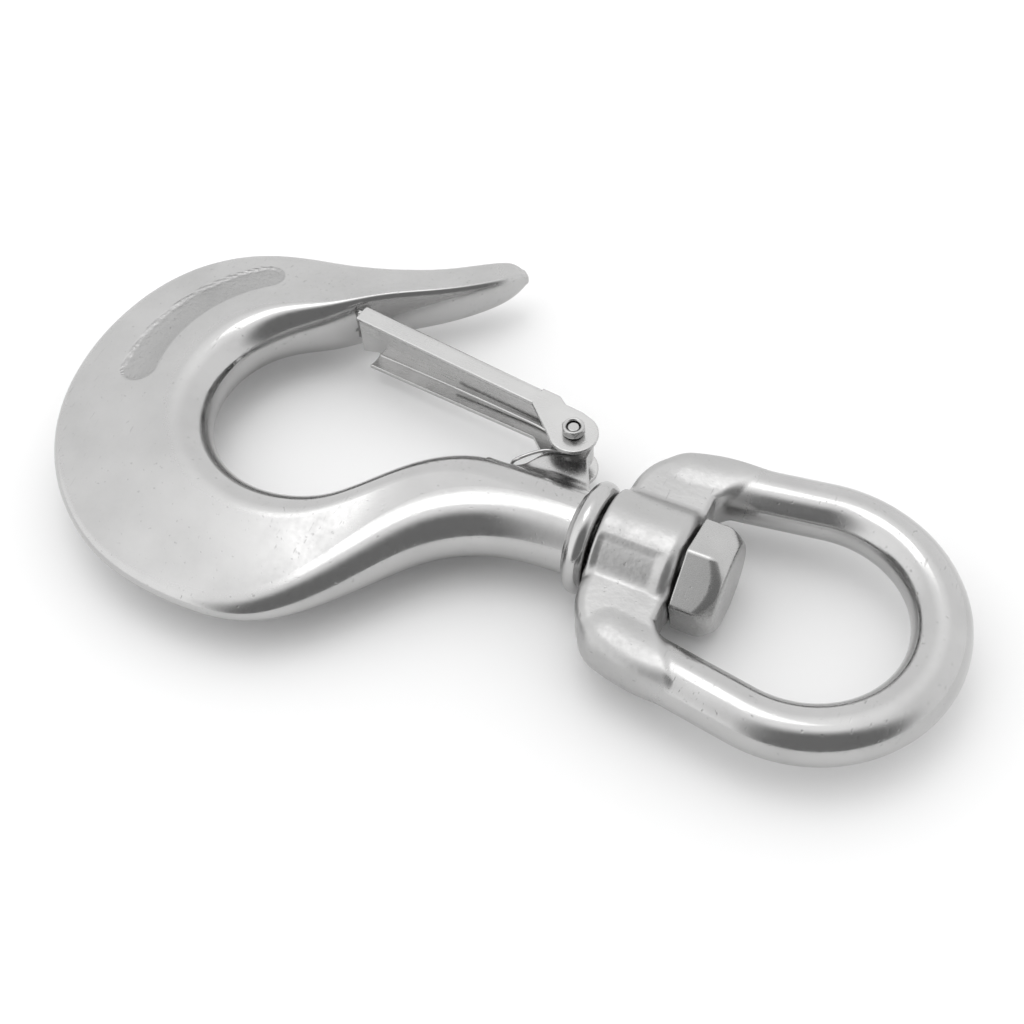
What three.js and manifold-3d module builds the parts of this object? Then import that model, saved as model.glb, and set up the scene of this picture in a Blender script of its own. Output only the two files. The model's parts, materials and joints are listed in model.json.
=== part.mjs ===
// Swivel eye hook with a spring-loaded safety latch, in cast stainless steel. Millimetres, +Z up.
// The hook lies flat: +X runs along the shank from the bowl to the eye, +Y points to the throat side
// and +Z is the normal of the hook's plane.
// The drawing origin is on the swivel axis, in the gap between the hook's collar and the eye's hub.
import * as THREE from "three";
import { mergeVertices } from "three/addons/utils/BufferGeometryUtils.js";
import Module from "manifold-3d";

const wasm = await Module();
wasm.setup();

// ---- Driving dimensions -------------------------------------------------------------------------
const DRAWING_ORIGIN = new THREE.Vector3(31.1, -8.7, 14.1); // puts the box's base centre at 0, 0, 0
const CLEARANCE = 0.3; // gap between neighbouring pieces

const BOWL = { x: -81.7, y: 5.9, innerRadius: 27.5 };
const COLLAR = { radius: 14.1, start: -5.8, end: -0.5 };

const BOLT = { flats: 24, turn: 11.5, headStart: 21.5, headEnd: 32, journal: 7, thread: 6, threadEnd: -26 };
const HUB = { radius: 13.9, start: 0.5, end: 20.8 };
const SHOULDER_HALF_THICKNESS = 6.5;
const EYE = { barRadius: 6.9, bowX: 50.4, bowRadius: 30.4, armAngle: 8.7, armStart: 12 };
const SPOT_FACE_RADIUS = 18.5; // room for the bolt's head between the two arms

const PIVOT = { x: -17.9, y: 22.3, radius: 1.5 };
const LUG = { halfThickness: 2.5, radius: 5 };
const LATCH = {
  tilt: 173.4, // direction from the pivot to the tip, in degrees
  sheet: 1.2,
  earRadius: 6.2,
  earHalfWidth: 7.5,
  tipHalfWidth: 9.2,
  flareStart: 13.9, // where the channel starts to widen towards the tip
  webStart: 8.8,
  webEnd: 66,
  length: 68,
  webTop: 8.6,
  freeEdge: 3,
};
const TONGUE = { run: 4.2, drop: 1.5, halfWidth: 7.1 }; // the latch's end, bent towards the bowl
const PIVOT_NUT = { flats: 5.5, height: 2.4 };
const PIVOT_HEAD = { flats: 5.5, height: 2.0 };
const SPRING = { wire: 0.45, coilRadius: 2.75, turns: 2.48, pitch: 0.93, innerZ: 3.25 };

// ---- Solids -------------------------------------------------------------------------------------
function toSolid(geometry) {
  geometry.deleteAttribute("normal");
  geometry.deleteAttribute("uv");
  const merged = mergeVertices(geometry, 1e-4);
  return new wasm.Manifold(new wasm.Mesh({
    numProp: 3,
    vertProperties: new Float32Array(merged.attributes.position.array),
    triVerts: new Uint32Array(merged.index.array),
  }));
}

function toGeometry(solid) {
  const mesh = solid.getMesh();
  const geometry = new THREE.BufferGeometry();
  geometry.setAttribute("position", new THREE.BufferAttribute(mesh.vertProperties, 3));
  geometry.setIndex(new THREE.BufferAttribute(mesh.triVerts, 1));
  geometry.computeVertexNormals();
  return geometry;
}

// A turned solid about the swivel axis; the profile is a list of [x, radius] from end to end.
function turnedAboutX(profile, segments = 48) {
  const points = profile.map(([x, radius]) => new THREE.Vector2(radius, x));
  return toSolid(new THREE.LatheGeometry(points, segments).rotateZ(-Math.PI / 2));
}

// A round bar or bore along Z.
function barAlongZ(radius, low, high, x = PIVOT.x, y = PIVOT.y) {
  const bar = new THREE.CylinderGeometry(radius, radius, high - low, 24).rotateX(Math.PI / 2);
  return toSolid(bar.translate(x, y, (low + high) / 2));
}

function plate(outline, low, high) {
  const geometry = new THREE.ExtrudeGeometry(outline, { depth: high - low, bevelEnabled: false });
  return toSolid(geometry.translate(0, 0, low));
}

function outlineOf(points) {
  return new THREE.Shape(points.map(([x, y]) => new THREE.Vector2(x, y)));
}

function hexagon(flats) {
  const corner = flats / Math.sqrt(3);
  const corners = Array.from({ length: 6 }, (_, index) => (index * Math.PI) / 3);
  return outlineOf(corners.map((angle) => [corner * Math.cos(angle), corner * Math.sin(angle)]));
}

// A closed solid through rings that hold the same number of points each.
function loft(rings) {
  const count = rings[0].length;
  const positions = rings.flat().flatMap((point) => point.toArray());
  const faces = [];
  for (let ring = 0; ring + 1 < rings.length; ring += 1) {
    for (let index = 0; index < count; index += 1) {
      const next = (index + 1) % count;
      const [a, b] = [ring * count + index, ring * count + next];
      faces.push(a, b, b + count, a, b + count, a + count);
    }
  }
  for (const ring of [0, rings.length - 1]) {
    const centre = rings[ring].reduce((sum, point) => sum.add(point), new THREE.Vector3());
    centre.divideScalar(count);
    const hub = positions.length / 3;
    positions.push(...centre.toArray());
    for (let index = 0; index < count; index += 1) {
      const pair = [ring * count + index, ring * count + ((index + 1) % count)];
      faces.push(hub, ...(ring === 0 ? pair.reverse() : pair));
    }
  }
  const geometry = new THREE.BufferGeometry();
  geometry.setAttribute("position", new THREE.Float32BufferAttribute(positions, 3));
  geometry.setIndex(faces);
  return toSolid(geometry);
}

// ---- Hook ---------------------------------------------------------------------------------------
// Each station is one section of the bent bar: its point on the inner edge, its point on the outer
// edge, then half thickness and rounding depth at the inner edge, and the same at the outer edge.
function station(inner, outer, innerHalf, innerRound, outerHalf, outerRound) {
  return { inner, outer, sizes: [innerHalf, innerRound, outerHalf], outerRound };
}

function bowlStation(degrees, outerRadius, innerHalf, innerRound, outerHalf, outerRound) {
  const angle = THREE.MathUtils.degToRad(degrees);
  const at = (radius) => [BOWL.x + radius * Math.cos(angle), BOWL.y + radius * Math.sin(angle)];
  return station(at(BOWL.innerRadius), at(outerRadius), innerHalf, innerRound, outerHalf, outerRound);
}

const STATIONS = [
  station([-3, 10.2], [-3, -10.4], 10.3, 10.3, 10.3, 10.3),
  station([-14, 10.4], [-13.8, -11], 10.3, 10.6, 10.3, 10.6),
  station([-25, 10.4], [-23.7, -12.8], 10.1, 11, 10.1, 11.2),
  station([-35.7, 9.9], [-32.5, -17.3], 9.9, 10.6, 9.9, 12.6),
  station([-45.2, 5.9], [-39.3, -23.3], 9.6, 10, 9.5, 13.4),
  station([-53.1, -1.3], [-45.8, -32.2], 9.3, 9.5, 8.8, 14),
  station([-59.4, -9.6], [-53, -42], 9.1, 9.1, 7.6, 14),
  station([-65.5, -16.4], [-61.3, -50.6], 9, 9, 6, 11),
  station([-74, -20.3], [-70.3, -55.6], 8.9, 8.9, 4.4, 7),
  bowlStation(-93, 63.2, 8.9, 8.9, 3.2, 3.6),
  bowlStation(-113, 66, 8.9, 8.9, 2.8, 2.8),
  bowlStation(-133, 67.4, 8.9, 8.9, 2.8, 2.8),
  bowlStation(-153, 68.6, 8.9, 8.9, 2.8, 2.8),
  bowlStation(-173, 68.4, 8.9, 8.9, 2.8, 2.8),
  bowlStation(-192, 68.0, 8.9, 8.9, 2.8, 2.8),
  bowlStation(-208, 66.8, 8.9, 8.3, 2.8, 2.8),
  bowlStation(-223, 63, 8.9, 6.8, 2.8, 2.8),
  bowlStation(-237, 57, 8.9, 5, 3, 3),
  station([-92.3, 32.6], [-101.8, 55.6], 8.8, 3.9, 3.2, 3.2),
  station([-88, 37.2], [-94.8, 57.4], 8.5, 3, 3.4, 3.4),
  station([-82.3, 42.8], [-87.6, 59.6], 7.9, 2.5, 3.6, 3.4),
  station([-75.9, 47.6], [-80.9, 62.2], 7.2, 2.2, 3.7, 3.2),
  station([-69, 52.5], [-74.6, 65.3], 6.5, 2, 3.6, 3),
  station([-62.4, 58.3], [-68.9, 69.2], 5.6, 1.8, 3.4, 2.8),
  station([-57.4, 63.8], [-64.2, 72.4], 4.7, 1.7, 3.2, 2.6),
  station([-54.9, 68], [-60, 74.6], 3.6, 1.8, 2.8, 2.4),
  station([-53.8, 70.9], [-56.8, 73.8], 1.8, 1.2, 1.5, 1.2),
];
const RINGS_PER_STATION = 2;
const ROUND_STEPS = 5;
const CHEEK_STEPS = 3;

// Half of a section, from the inner edge along one cheek to the outer edge, as [depth, height].
function halfSection(width, innerHalf, innerRound, outerHalf, outerRound) {
  const points = [];
  for (let step = 0; step < ROUND_STEPS; step += 1) {
    const angle = (step / ROUND_STEPS) * (Math.PI / 2);
    points.push([innerRound * (1 - Math.cos(angle)), innerHalf * Math.sin(angle)]);
  }
  for (let step = 0; step <= CHEEK_STEPS; step += 1) {
    const depth = THREE.MathUtils.lerp(innerRound, width - outerRound, step / CHEEK_STEPS);
    points.push([depth, THREE.MathUtils.lerp(innerHalf, outerHalf, step / CHEEK_STEPS)]);
  }
  for (let step = 1; step <= ROUND_STEPS; step += 1) {
    const angle = (step / ROUND_STEPS) * (Math.PI / 2);
    points.push([width - outerRound * (1 - Math.sin(angle)), outerHalf * Math.cos(angle)]);
  }
  return points;
}

function hookBar() {
  const through = (vectors) => new THREE.CatmullRomCurve3(vectors);
  const flat = ([x, y]) => new THREE.Vector3(x, y, 0);
  const innerEdge = through(STATIONS.map(({ inner }) => flat(inner)));
  const outerEdge = through(STATIONS.map(({ outer }) => flat(outer)));
  const sizes = through(STATIONS.map((one) => new THREE.Vector3(...one.sizes)));
  const outerRounds = through(STATIONS.map((one, index) => flat([index, one.outerRound])));
  const count = (STATIONS.length - 1) * RINGS_PER_STATION;
  const rings = [];
  for (let index = 0; index <= count; index += 1) {
    const along = index / count;
    const inner = innerEdge.getPoint(along);
    const across = outerEdge.getPoint(along).sub(inner);
    const width = across.length();
    across.normalize();
    const [innerHalf, innerRound, outerHalf] = sizes.getPoint(along).toArray();
    const half = halfSection(width, innerHalf, Math.min(innerRound, width / 2),
      outerHalf, Math.min(outerRounds.getPoint(along).y, width / 2));
    const upper = half.slice(1, -1).reverse().map(([depth, height]) => [depth, -height]);
    rings.push([...half, ...upper].map(([depth, height]) =>
      inner.clone().addScaledVector(across, depth).setZ(-height)));
  }
  return loft(rings);
}

function collar() {
  const { radius, start, end } = COLLAR;
  return turnedAboutX([
    [start - 1, 0], [start - 1, 9], [start, 11.5], [start + 0.6, 13.2], [start + 1.7, radius - 0.2],
    [start + 2.8, radius], [end - 1.2, radius - 0.5], [end - 0.3, radius - 1.4], [end, radius - 2.6],
    [end, 0],
  ]);
}

function latchLug() {
  const shape = new THREE.Shape();
  shape.moveTo(-6.5, 6);
  shape.lineTo(-9.5, 13);
  shape.lineTo(PIVOT.x + LUG.radius, PIVOT.y - 2.5);
  shape.absarc(PIVOT.x, PIVOT.y, LUG.radius, -0.2, Math.PI * 0.95, false);
  shape.lineTo(-23.2, 18);
  shape.lineTo(-27.5, 10.5);
  shape.lineTo(-31, 6);
  return plate(shape, -LUG.halfThickness, LUG.halfThickness);
}

function hookBody() {
  const bore = turnedAboutX([
    [BOLT.threadEnd - 2, 0], [BOLT.threadEnd - CLEARANCE, BOLT.thread + CLEARANCE],
    [1, BOLT.thread + CLEARANCE], [1, 0],
  ], 32);
  const pinBore = barAlongZ(PIVOT.radius + CLEARANCE, -9, 9);
  return hookBar().add(collar()).add(latchLug()).subtract(bore).subtract(pinBore);
}

// ---- Swivel eye and its bolt --------------------------------------------------------------------
function eyeHub() {
  const { radius, start, end } = HUB;
  return turnedAboutX([
    [start, 0], [start, radius - 1.4], [start + 0.4, radius - 0.5], [start + 1.4, radius],
    [end - 4.2, radius], [end - 2.2, radius - 0.5], [end - 0.8, radius - 1.6], [end, radius - 3],
    [end, 0],
  ]);
}

function eyeShoulders() {
  const upper = [
    [HUB.start, 12], [1.2, 18], [3.8, 23], [8.4, 27.2], [14, 29.8], [22, 31], [26, 26],
    [HUB.end + 1, SPOT_FACE_RADIUS + 1], [HUB.end, SPOT_FACE_RADIUS],
  ];
  const lower = upper.map(([x, y]) => [x, -y]).reverse();
  return plate(outlineOf([...upper, ...lower]), -SHOULDER_HALF_THICKNESS, SHOULDER_HALF_THICKNESS);
}

function eyeBow() {
  const lean = THREE.MathUtils.degToRad(EYE.armAngle);
  const arcStart = Math.PI / 2 + lean;
  const armLength = (EYE.bowX - EYE.bowRadius * Math.sin(lean) - EYE.armStart) / Math.cos(lean);
  const path = [];
  const armSteps = 3;
  const arcSteps = 24;
  for (const side of [1, -1]) {
    const arm = [];
    for (let step = 0; step < armSteps; step += 1) {
      const back = armLength * (1 - step / armSteps);
      const x = EYE.bowX - EYE.bowRadius * Math.sin(lean) - back * Math.cos(lean);
      const y = EYE.bowRadius * Math.cos(lean) - back * Math.sin(lean);
      arm.push(new THREE.Vector3(x, side * y, 0));
    }
    path.push(...(side > 0 ? arm : arm.reverse()));
    if (side > 0) {
      for (let step = 0; step <= arcSteps; step += 1) {
        const angle = arcStart * (1 - (2 * step) / arcSteps);
        const [x, y] = [EYE.bowRadius * Math.cos(angle), EYE.bowRadius * Math.sin(angle)];
        path.push(new THREE.Vector3(EYE.bowX + x, y, 0));
      }
    }
  }
  const section = new THREE.Shape().absarc(0, 0, EYE.barRadius, 0, Math.PI * 2, false);
  return toSolid(new THREE.ExtrudeGeometry(section, {
    extrudePath: new THREE.CatmullRomCurve3(path), steps: 56, curveSegments: 8,
  }));
}

function swivelEye() {
  const bore = turnedAboutX([
    [HUB.start - 1, 0], [HUB.start - 1, BOLT.journal + CLEARANCE],
    [HUB.end + 1, BOLT.journal + CLEARANCE], [HUB.end + 1, 0],
  ], 32);
  return eyeHub().add(eyeShoulders()).add(eyeBow()).subtract(bore);
}

function swivelBolt() {
  const { flats, headStart, headEnd, journal, thread, threadEnd } = BOLT;
  const prism = new THREE.ExtrudeGeometry(hexagon(flats), {
    depth: headEnd - headStart, bevelEnabled: false,
  }).rotateY(Math.PI / 2).rotateX(THREE.MathUtils.degToRad(BOLT.turn)).translate(headStart, 0, 0);
  const crown = turnedAboutX([
    [headStart, 0], [headStart, 13.6], [headStart + 0.5, 14], [headEnd - 3.2, 14],
    [headEnd - 1.2, 12.6], [headEnd - 0.3, 11.2], [headEnd, 9.6], [headEnd, 0],
  ]);
  const shank = turnedAboutX([
    [threadEnd, 0], [threadEnd, thread - 1], [threadEnd + 1, thread], [-1.5, thread],
    [-0.3 + CLEARANCE, thread], [CLEARANCE, journal], [headStart + 1, journal], [headStart + 1, 0],
  ], 32);
  return toSolid(prism).intersect(crown).add(shank);
}

// ---- Latch --------------------------------------------------------------------------------------
// Latch outlines are drawn with the pivot at 0, 0, their first axis towards the tip and their second
// axis towards the throat's mouth.
function placeLatch(solid) {
  const turn = THREE.MathUtils.degToRad(LATCH.tilt);
  const matrix = new THREE.Matrix4().set(
    Math.cos(turn), Math.sin(turn), 0, PIVOT.x,
    Math.sin(turn), -Math.cos(turn), 0, PIVOT.y,
    0, 0, -1, 0,
    0, 0, 0, 1,
  );
  return solid.transform(matrix.toArray());
}

function halfWidthAt(distance) {
  const { earHalfWidth, tipHalfWidth, flareStart, length } = LATCH;
  const flare = Math.max(0, (distance - flareStart) / (length - flareStart));
  return THREE.MathUtils.lerp(earHalfWidth, tipHalfWidth, flare);
}

// One wall of the folded channel between two distances from the pivot. rectangleAt gives its section
// there, as the low and high ends in height and across the latch.
function channelWall(start, end, rectangleAt) {
  return loft([start, end].map((distance) => {
    const [low, high, left, right] = rectangleAt(halfWidthAt(distance));
    const corners = [[low, left], [high, left], [high, right], [low, right]];
    return corners.map(([up, across]) => new THREE.Vector3(distance, up, across));
  }));
}

function latchChannel() {
  const { sheet, freeEdge, webTop, webStart, flareStart, webEnd, length } = LATCH;
  const web = (half) => [webTop - sheet, webTop, -half, half];
  const upperFlange = (half) => [freeEdge, webTop, half - sheet, half];
  const lowerFlange = (half) => [freeEdge, webTop, -half, sheet - half];
  const walls = [channelWall(webStart, flareStart, web), channelWall(flareStart, webEnd, web)];
  for (const flange of [upperFlange, lowerFlange]) {
    walls.push(channelWall(flareStart - 1, flareStart, flange));
    walls.push(channelWall(flareStart, length, flange));
  }
  return walls.reduce((channel, wall) => channel.add(wall));
}

function latchEars() {
  const { earRadius, flareStart, freeEdge, webTop, webStart, earHalfWidth, sheet } = LATCH;
  const shape = new THREE.Shape();
  shape.moveTo(flareStart, freeEdge);
  shape.absarc(0, 0, earRadius, -0.22 * Math.PI, 0.55 * Math.PI, true);
  shape.lineTo(1.5, earRadius + 0.5);
  shape.lineTo(6.3, earRadius + 0.6);
  shape.lineTo(webStart, webTop);
  shape.lineTo(flareStart, webTop);
  const ear = plate(shape, earHalfWidth - sheet, earHalfWidth);
  return ear.add(plate(shape, -earHalfWidth, sheet - earHalfWidth));
}

// The web's end, bent inwards so that it lies along the underside of the hook's point.
function latchTongue() {
  const { webEnd, webTop, sheet } = LATCH;
  const { run, drop, halfWidth } = TONGUE;
  const side = outlineOf([
    [webEnd - 1.5, webTop - sheet], [webEnd - 0.2, webTop - sheet],
    [webEnd + run - 0.4, webTop - sheet - drop], [webEnd + run, webTop - drop],
    [webEnd, webTop], [webEnd - 1.5, webTop],
  ]);
  return plate(side, -halfWidth, halfWidth);
}

function latch() {
  const bore = barAlongZ(PIVOT.radius + CLEARANCE, -9, 9, 0, 0);
  return placeLatch(latchChannel().add(latchEars()).add(latchTongue()).subtract(bore));
}

function latchBolt() {
  const { flats, height } = PIVOT_HEAD;
  const headTop = -(LATCH.earHalfWidth + CLEARANCE);
  const head = plate(hexagon(flats), headTop - height, headTop).translate(PIVOT.x, PIVOT.y, 0);
  return head.add(barAlongZ(PIVOT.radius, headTop - 0.5, LATCH.earHalfWidth + PIVOT_NUT.height - 0.2));
}

function latchNut() {
  const low = LATCH.earHalfWidth + CLEARANCE;
  const nut = plate(hexagon(PIVOT_NUT.flats), low, low + PIVOT_NUT.height);
  return nut.translate(PIVOT.x, PIVOT.y, 0).subtract(barAlongZ(PIVOT.radius + CLEARANCE, 0, 20));
}

// One wire: a leg under the latch's web, a coil on the pivot bolt, the bail that bears on the neck,
// then the same again on the lug's other side.
function latchSpring() {
  const { coilRadius, turns, pitch, innerZ } = SPRING;
  const turn = THREE.MathUtils.degToRad(LATCH.tilt);
  const along = new THREE.Vector3(Math.cos(turn), Math.sin(turn), 0);
  const outward = new THREE.Vector3(Math.sin(turn), -Math.cos(turn), 0);
  const pivot = new THREE.Vector3(PIVOT.x, PIVOT.y, 0);
  const coilSteps = 14;
  const upper = [];
  for (const [distance, rise] of [[40, 6.3], [25, 6.4], [12, 6.1], [5, 4.3]]) {
    upper.push(pivot.clone().addScaledVector(along, distance).addScaledVector(outward, rise));
  }
  upper.forEach((point) => point.setZ(innerZ + turns * pitch));
  for (let step = 0; step <= coilSteps * turns; step += 1) {
    const angle = turn - Math.PI / 2 - (step / coilSteps) * Math.PI * 2;
    const z = innerZ + (turns - step / coilSteps) * pitch;
    upper.push(new THREE.Vector3(
      PIVOT.x + coilRadius * Math.cos(angle), PIVOT.y + coilRadius * Math.sin(angle), z));
  }
  upper.push(new THREE.Vector3(-23.5, 17.2, innerZ + 0.1), new THREE.Vector3(-28, 12.9, innerZ));
  upper.push(new THREE.Vector3(-29.8, 11.9, innerZ - 1.7));
  const lower = upper.map((point) => point.clone().setZ(-point.z)).reverse();
  const section = new THREE.Shape().absarc(0, 0, SPRING.wire, 0, Math.PI * 2, false);
  return toSolid(new THREE.ExtrudeGeometry(section, {
    extrudePath: new THREE.CatmullRomCurve3([...upper, ...lower]), steps: 150, curveSegments: 4,
  }));
}

// ---- Assembly -----------------------------------------------------------------------------------
const FINISHES = {
  satinCast: { color: 0xc4c5c6, roughness: 0.34, metalness: 1 },
  machined: { color: 0xb2b3b5, roughness: 0.3, metalness: 1 },
  sheet: { color: 0xc9cacb, roughness: 0.28, metalness: 1 },
  wire: { color: 0xd0d1d2, roughness: 0.2, metalness: 1 },
};

function piece(name, solid, finish) {
  const mesh = new THREE.Mesh(toGeometry(solid), new THREE.MeshStandardMaterial(FINISHES[finish]));
  mesh.name = name;
  return mesh;
}

const assembly = new THREE.Group();
assembly.position.copy(DRAWING_ORIGIN);
assembly.add(
  piece("hook_body", hookBody(), "satinCast"),
  piece("swivel_eye", swivelEye(), "satinCast"),
  piece("swivel_bolt", swivelBolt(), "machined"),
  piece("safety_latch", latch(), "sheet"),
  piece("latch_bolt", latchBolt(), "machined"),
  piece("latch_nut", latchNut(), "machined"),
  piece("latch_spring", latchSpring(), "wire"),
);

const model = new THREE.Group();
model.add(assembly);
export default model;
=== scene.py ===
"""Looks of a swivel eye hook with a safety latch, in cast stainless steel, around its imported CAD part.

Shapes are worked out in millimetres in the hook frame: its origin is on the swivel axis in the gap
between collar and hub, +X runs along the shank to the eye, +Y points to the throat's side and +Z is
the normal of the hook's plane.
"""

import json
import math

import bpy
import numpy as np
from mathutils import Matrix, Vector


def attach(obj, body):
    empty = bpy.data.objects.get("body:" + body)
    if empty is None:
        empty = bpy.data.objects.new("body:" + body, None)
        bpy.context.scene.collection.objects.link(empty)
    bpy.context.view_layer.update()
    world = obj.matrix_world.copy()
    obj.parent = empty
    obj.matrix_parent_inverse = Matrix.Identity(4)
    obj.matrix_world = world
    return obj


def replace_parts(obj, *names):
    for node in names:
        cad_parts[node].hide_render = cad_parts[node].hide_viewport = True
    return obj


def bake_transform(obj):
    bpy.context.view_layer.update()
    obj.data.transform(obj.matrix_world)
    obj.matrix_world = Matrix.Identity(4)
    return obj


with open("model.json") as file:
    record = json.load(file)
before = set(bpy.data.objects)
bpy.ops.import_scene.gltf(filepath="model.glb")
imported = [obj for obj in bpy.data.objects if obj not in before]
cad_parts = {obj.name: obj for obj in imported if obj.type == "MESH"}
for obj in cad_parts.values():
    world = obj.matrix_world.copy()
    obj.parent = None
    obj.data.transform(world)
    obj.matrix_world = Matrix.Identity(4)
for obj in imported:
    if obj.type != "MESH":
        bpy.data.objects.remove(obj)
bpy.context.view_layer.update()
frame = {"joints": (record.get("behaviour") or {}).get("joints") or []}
JOINTS = {joint["name"]: joint for joint in frame["joints"]}
ORIGIN = np.array(JOINTS["eye_swivel"]["pos_m"]) * 1000
PIVOT = np.array(JOINTS["latch_pivot"]["pos_m"]) * 1000 - ORIGIN

# ---- Sizes, in millimetres ------------------------------------------------------------------------
BOWL = (-81.7, 5.9)  # centre of the bowl
BOWL_INNER, SADDLE_HALF = 27.5, 8.9  # radius and half thickness of the bowl's saddle
COLLAR_MIDDLE, COLLAR_RADIUS, COLLAR_ROUND = -3.15, 14.1, 2.65
LUG_HALF, LUG_RADIUS = 2.5, 5
HUB_RADIUS, HUB_START, HUB_END = 13.9, 0.5, 20.8
BORE, JOURNAL = 7.3, 7
SHOULDER_HALF, SPOT_FACE = 6.5, 18.5
BAR, BOW_X, BOW_RADIUS, ARM_LEAN, ARM_START = 6.9, 50.4, 30.4, math.radians(8.7), 12
HEAD_START, HEAD_END, HEAD_FLATS, HEAD_TURN = 21.5, 32.0, 24.0, math.radians(11.5)
HEAD_CROWN = 10.7  # radius of the flat end inside the chamfer
LATCH_TILT = math.radians(173.4)
SHEET = 1.2
EAR_RADIUS, EAR_HALF, TIP_HALF, FLARE_START, LATCH_LENGTH = 6.2, 7.5, 9.2, 13.9, 68.0
WEB_START, WEB_END, WEB_TOP, FREE_EDGE = 8.8, 66.0, 8.6, 3.0
PIN, PIN_BORE = 1.5, 1.8
PIN_FLATS, PIN_NUT_HEIGHT, PIN_HEAD_HEIGHT, PIN_GAP = 5.5, 2.4, 2.0, 0.3
WIRE = 0.45
COIL_RADIUS, COIL_TURNS, COIL_PITCH, COIL_Z = 2.75, 2.48, 0.93, 3.25


# ---- Mesh helpers ---------------------------------------------------------------------------------
def new_object(name, points, faces, normals, satin):
    """A smooth-shaded mesh from points in the hook frame; satin says how matt each point is, and above 1 how
    much darker it is, which in the sunk field is painted shade.
    """
    mesh = bpy.data.meshes.new(name)
    mesh.from_pydata(((points + ORIGIN) / 1000).tolist(), [], faces)
    mesh.polygons.foreach_set("use_smooth", [True] * len(mesh.polygons))
    layer = mesh.attributes.new("satin", "FLOAT", "POINT")
    layer.data.foreach_set("value", np.asarray(satin, np.float32))
    mesh.normals_split_custom_set_from_vertices(normals.tolist())
    made = bpy.data.objects.new(name, mesh)
    bpy.context.scene.collection.objects.link(made)
    return made


def enclosed(points, faces):
    """A volume that is below zero where the faces point inwards; a cap counts as one triangle."""
    centred = points - points.mean(0)
    fourth = [[face[0], face[2], face[3]] for face in faces if len(face) == 4]
    total = 0.0
    for triangles in ([face[:3] for face in faces], fourth):
        corners = centred[triangles]
        total += np.einsum("ij,ij->i", corners[:, 0], np.cross(corners[:, 1], corners[:, 2])).sum()
    return total


def joined(name, parts):
    """Several (points, faces, normals, satin) sets as one object, with all faces outwards."""
    points, faces, normals, satin, count = [], [], [], [], 0
    for part_points, part_faces, part_normals, part_satin in parts:
        if enclosed(part_points, part_faces) < 0:
            part_faces = [face[::-1] for face in part_faces]
        agreement = (vertex_normals(part_points, part_faces) * part_normals).sum()
        part_normals = part_normals * np.sign(agreement)
        points.append(part_points)
        faces.extend([[index + count for index in face] for face in part_faces])
        normals.append(part_normals)
        satin.append(np.broadcast_to(part_satin, len(part_points)))
        count += len(part_points)
    return new_object(name, np.concatenate(points), faces, np.concatenate(normals), np.concatenate(satin))


def vertex_normals(points, faces):
    """Area-weighted normals at the points of a mesh of quads and triangles; caps don't count."""
    total = np.zeros_like(points)
    for size in (3, 4):
        chosen = np.array([face for face in faces if len(face) == size], int).reshape(-1, size)
        if len(chosen):
            first = points[chosen[:, 2]] - points[chosen[:, 0]]
            second = points[chosen[:, -1]] - points[chosen[:, 1]]
            cross = np.cross(first, second)
            for column in range(size):
                np.add.at(total, chosen[:, column], cross)
    return total / np.maximum(np.linalg.norm(total, axis=1, keepdims=True), 1e-12)


def gradient(field, points, reach=0.02):
    """The field's slope at each point."""
    slope = np.empty_like(points)
    for axis in range(3):
        shift = np.zeros(3)
        shift[axis] = reach
        slope[:, axis] = field(*(points + shift).T) - field(*(points - shift).T)
    return slope / (2 * reach)


def surface_of(field, low, high, step):
    """(points, quads, normals) of the surface where field, a signed distance, is zero.

    Each grid cell that the surface crosses gets one point, the mean of its edge crossings, which is
    then moved onto the surface.
    """
    axes = [np.arange(first, last + step, step) for first, last in zip(low, high)]
    grid = np.meshgrid(*axes, indexing="ij", sparse=True)
    values = np.broadcast_to(field(*grid), [len(one) for one in axes])
    inside = values < 0
    cells = tuple(len(one) - 1 for one in axes)
    total, count = np.zeros(cells + (3,)), np.zeros(cells)
    crossings = []
    for axis in range(3):
        near = [slice(None)] * 3
        far = [slice(None)] * 3
        near[axis], far[axis] = slice(None, -1), slice(1, None)
        crossed = inside[tuple(near)] != inside[tuple(far)]
        where = np.argwhere(crossed)
        first = values[tuple(near)][crossed]
        last = values[tuple(far)][crossed]
        place = np.stack([axes[one][where[:, one]] for one in range(3)], 1)
        place[:, axis] += step * first / (first - last)
        others = [one for one in range(3) if one != axis]
        around = []
        for a, b in ((0, 0), (1, 0), (1, 1), (0, 1)):
            cell = where.copy()
            cell[:, others[0]] -= a
            cell[:, others[1]] -= b
            valid = np.all((cell >= 0) & (cell < cells), axis=1)
            for one in range(3):
                np.add.at(total[..., one], tuple(cell[valid].T), place[valid, one])
            np.add.at(count, tuple(cell[valid].T), 1)
            around.append((cell, valid))
        crossings.append((around, first < 0, axis))
    active = count > 0
    number = np.full(cells, -1)
    number[active] = np.arange(active.sum())
    points = total[active] / count[active][:, None]
    for _ in range(4):
        slope = gradient(field, points)
        size = np.maximum((slope ** 2).sum(1), 0.05)
        move = slope * (field(*points.T) / size)[:, None]
        reach = np.linalg.norm(move, axis=1, keepdims=True)
        points = points - move * np.minimum(1, 0.5 * step / np.maximum(reach, 1e-9))
    quads = []
    for around, leaving, axis in crossings:
        good = np.all([valid for _, valid in around], axis=0)
        ring = np.stack([number[tuple(cell[good].T)] for cell, _ in around], 1)
        flip = leaving[good] ^ (axis != 1)
        ring[flip] = ring[flip][:, ::-1]
        quads.append(ring)
    normals = gradient(field, points)
    normals /= np.maximum(np.linalg.norm(normals, axis=1, keepdims=True), 1e-9)
    return points, np.concatenate(quads).tolist(), normals


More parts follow.
